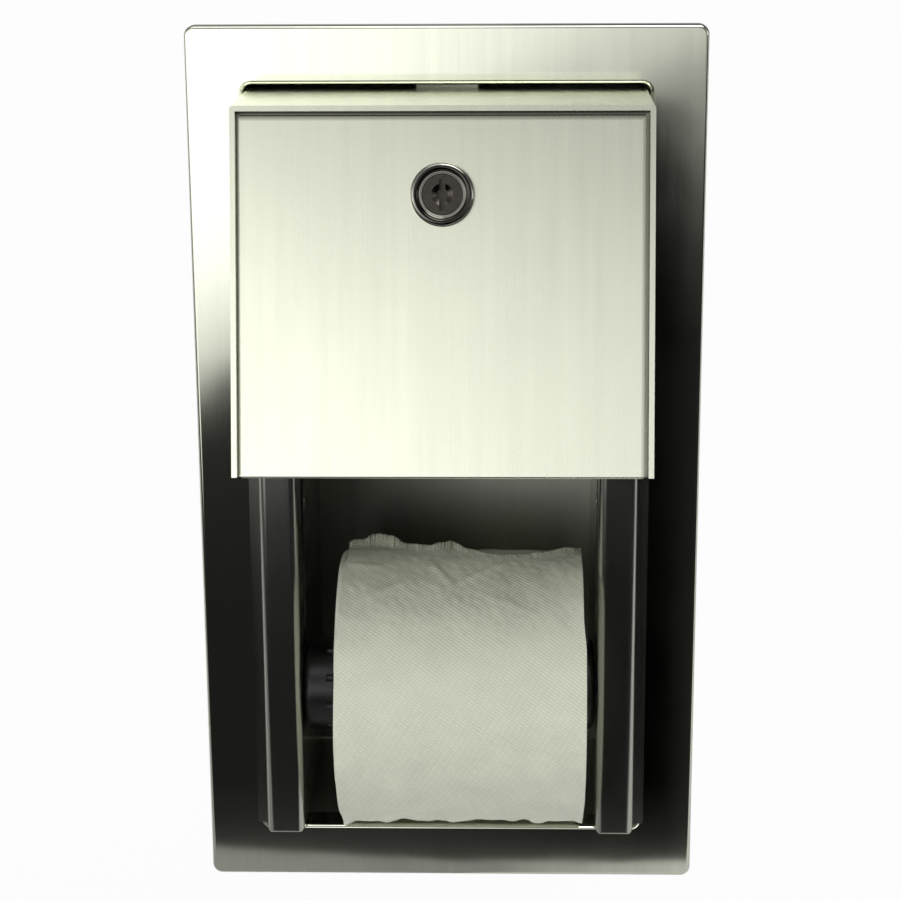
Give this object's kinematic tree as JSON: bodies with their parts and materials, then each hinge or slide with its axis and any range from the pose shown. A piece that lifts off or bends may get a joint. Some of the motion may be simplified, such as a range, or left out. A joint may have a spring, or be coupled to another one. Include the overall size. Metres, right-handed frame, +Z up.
{
  "type": "recessed toilet tissue dispenser",
  "caption": "Recessed steel dispenser for toilet rolls: one roll in use between folded tracks, a reserve behind a hood that locks and swings down.",
  "frame": {"origin": "centre of the wall opening in the plane of the wall's surface, where the flange's returned edges rest", "axes": "+X to the right seen from the front, +Y into the wall, +Z up"},
  "size_m": [0.2, 0.178, 0.352],
  "materials": {
    "satin_steel": "satin",
    "cabinet_steel": "satin",
    "track_steel": "bright",
    "rivet_steel": "satin",
    "lock_chrome": "polished",
    "washer_nylon": "moulded",
    "spindle_plastic": "moulded",
    "core_card": "plain",
    "tissue": "embossed"
  },
  "bodies": {
    "cabinet": {"flange": "satin_steel", "cabinet_wrap": "cabinet_steel", "cabinet_top": "cabinet_steel", "cabinet_bottom": "cabinet_steel", "right_track": "track_steel", "left_track": "track_steel", "track_rivets": "rivet_steel", "lock_keeper": "cabinet_steel", "keeper_rivets": "rivet_steel", "hood_pivot_pins": "rivet_steel", "hood_pivot_washers": "washer_nylon", "hood_stop_pins": "rivet_steel", "rocker_pins": "rivet_steel"},
    "hood": {"hood_wrap": "satin_steel", "hood_front": "satin_steel", "lock_body": "lock_chrome", "lock_nut": "lock_chrome"},
    "lock_turning_parts": {"lock_plug": "lock_chrome", "lock_cam": "rivet_steel", "lock_cam_screw": "rivet_steel"},
    "right_rocker": {"right_rocker": "track_steel"},
    "left_rocker": {"left_rocker": "track_steel"},
    "lower_spindle": {"lower_spindle_barrel": "spindle_plastic", "lower_spindle_plug": "spindle_plastic"},
    "reserve_spindle": {"reserve_spindle_barrel": "spindle_plastic", "reserve_spindle_plug": "spindle_plastic"},
    "lower_roll": {"lower_core": "core_card", "lower_tissue": "tissue"},
    "reserve_roll": {"reserve_core": "core_card", "reserve_tissue": "tissue"}
  },
  "joints": [
    {"name": "hood_swing", "type": "hinge", "parent": "cabinet", "child": "hood", "pos_m": [0, -0.011, 0.026], "axis": [1, 0, 0], "range_deg": [0, 55]},
    {"name": "lock_turn", "type": "hinge", "parent": "hood", "child": "lock_turning_parts", "pos_m": [0, -0.06293, 0.1204], "axis": [0, -0.9797, 0.2004], "range_deg": [0, 90]},
    {"name": "right_rocker_swing", "type": "hinge", "parent": "cabinet", "child": "right_rocker", "pos_m": [0.0638, 0.018, -0.019], "axis": [1, 0, 0], "range_deg": [0, 12]},
    {"name": "left_rocker_swing", "type": "hinge", "parent": "cabinet", "child": "left_rocker", "pos_m": [-0.0638, 0.018, -0.019], "axis": [1, 0, 0], "range_deg": [0, 12]},
    {"name": "lower_spindle_lift", "type": "slide", "parent": "cabinet", "child": "lower_spindle", "axis": [0, 0, 1], "range_m": [0, 0.034]},
    {"name": "reserve_spindle_lift", "type": "slide", "parent": "cabinet", "child": "reserve_spindle", "axis": [0, 0, 1], "range_m": [0, 0.026]},
    {"name": "lower_roll_spin", "type": "hinge", "parent": "lower_spindle", "child": "lower_roll", "pos_m": [0, 0.005, -0.0945], "axis": [1, 0, 0], "continuous": true},
    {"name": "reserve_roll_spin", "type": "hinge", "parent": "reserve_spindle", "child": "reserve_roll", "pos_m": [0, 0.005, 0.056], "axis": [1, 0, 0], "continuous": true}
  ]
}
